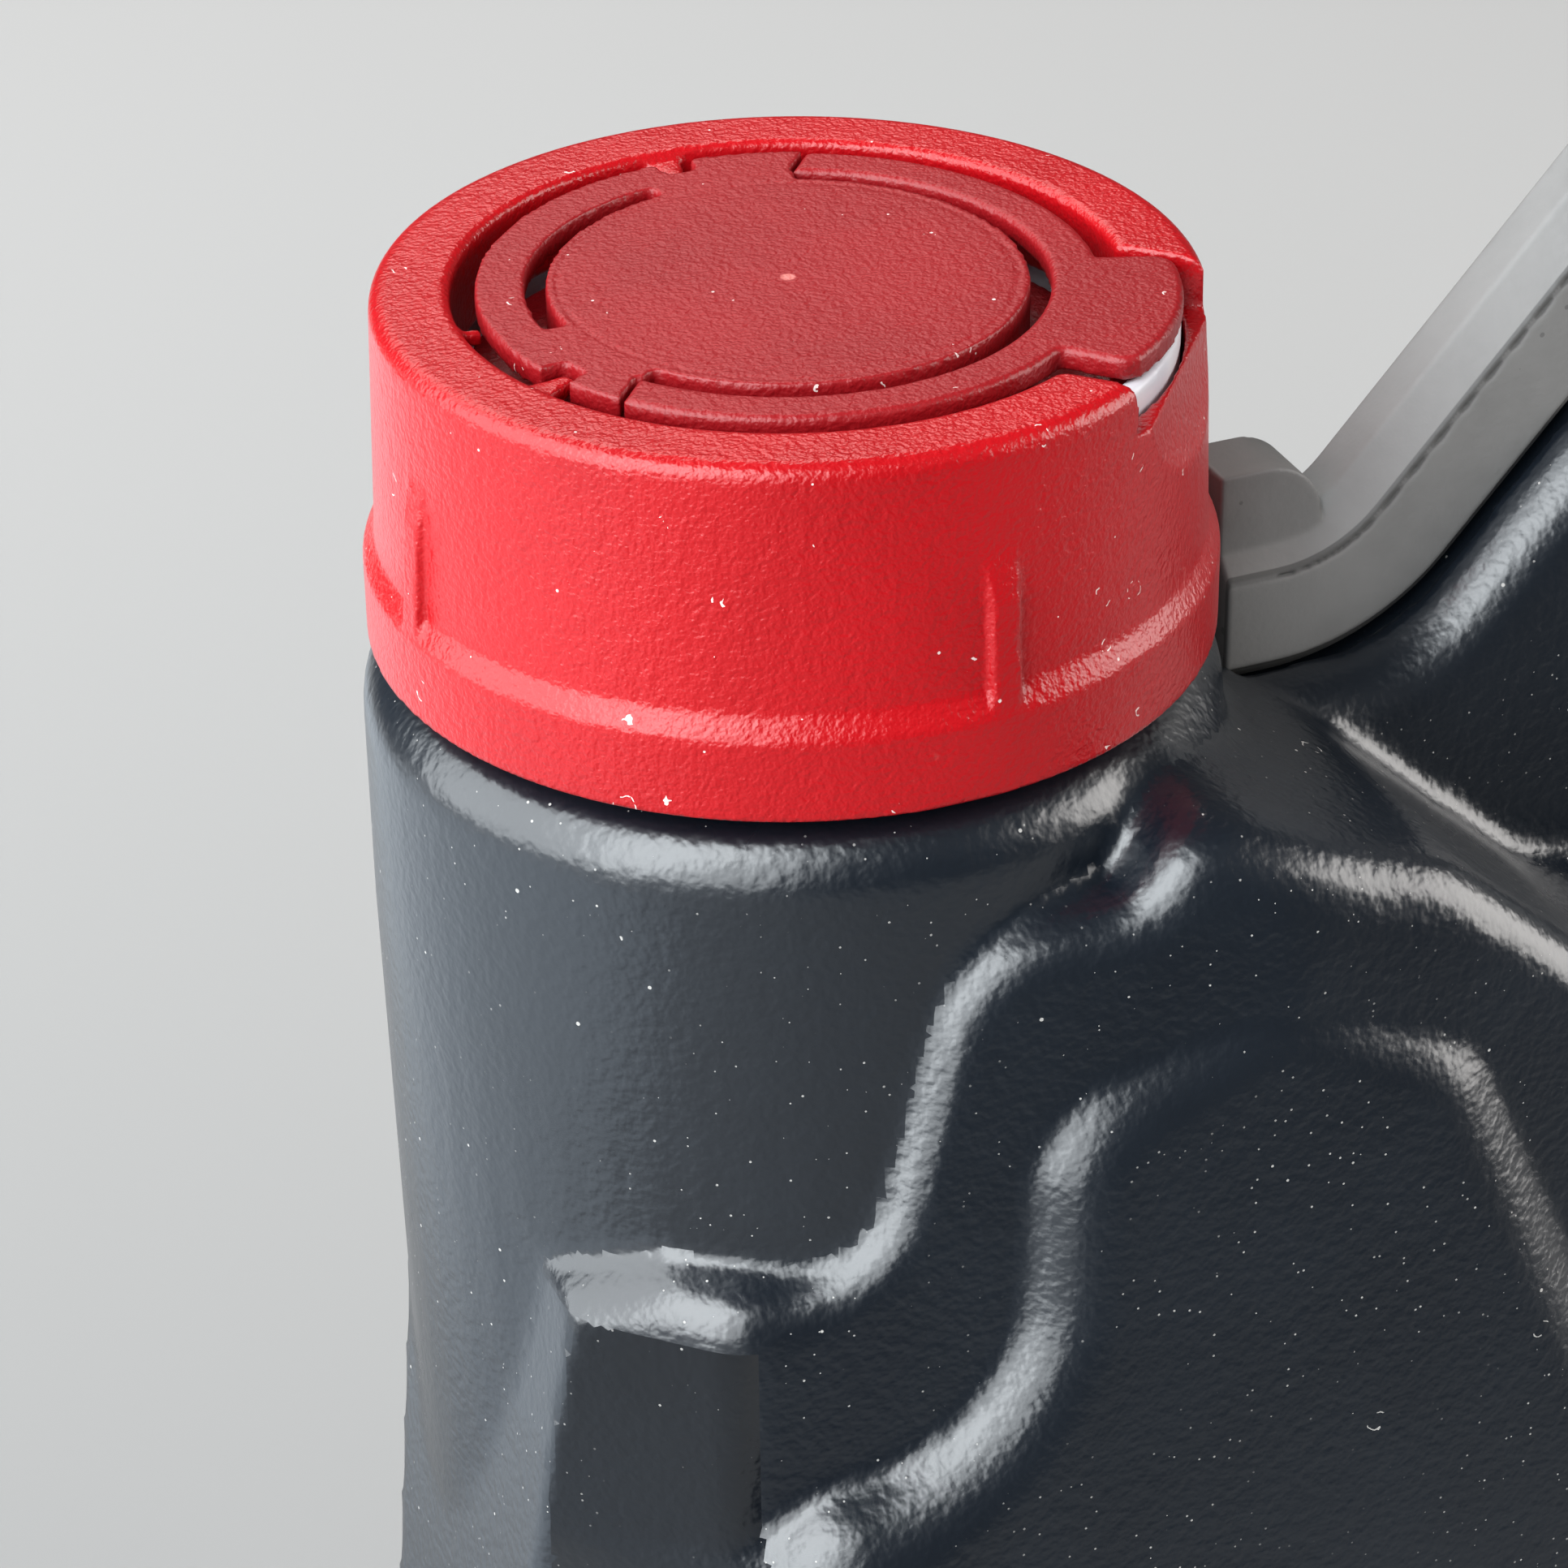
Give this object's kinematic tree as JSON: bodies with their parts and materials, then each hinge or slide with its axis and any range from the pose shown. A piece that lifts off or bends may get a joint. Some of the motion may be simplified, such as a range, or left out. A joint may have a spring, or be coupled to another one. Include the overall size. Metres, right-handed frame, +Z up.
{
  "type": "motor oil bottle",
  "caption": "Blow-moulded plastic oil bottle with a stepped shoulder, a separate grip bar, and a wide cap holding a pull-out pour spout with a fold-up ring.",
  "frame": {"origin": "centre of the bounding box, at the surface the bottle stands on", "axes": "+Z up along the neck axis; +X along the bottle from the neck end to the far end; -Y out of the front face"},
  "size_m": [0.172, 0.081, 0.2665],
  "materials": {
    "body_plastic": "semi-gloss pebbled blow-moulded polyethylene, blue-black",
    "handle_plastic": "satin grey moulded plastic",
    "cap_plastic": "fine-grained red moulded plastic with polished edges",
    "spout_plastic": "milky natural polyethylene"
  },
  "bodies": {
    "bottle": {"bottle_body": "body_plastic", "handle": "handle_plastic", "outer_cap": "cap_plastic", "spout_collar": "spout_plastic"},
    "spout": {"spout_tube": "spout_plastic", "spout_plug": "cap_plastic"},
    "ring": {"pull_ring": "cap_plastic"}
  },
  "joints": [
    {"name": "spout_pull", "type": "slide", "parent": "bottle", "child": "spout", "axis": [0, 0, 1], "range_m": [0, 0.0335]},
    {"name": "ring_flip", "type": "hinge", "parent": "spout", "child": "ring", "pos_m": [-0.05049, 0.00367, 0.2604], "axis": [-0.6334, -0.7738, 0], "range_deg": [0, 100]}
  ]
}
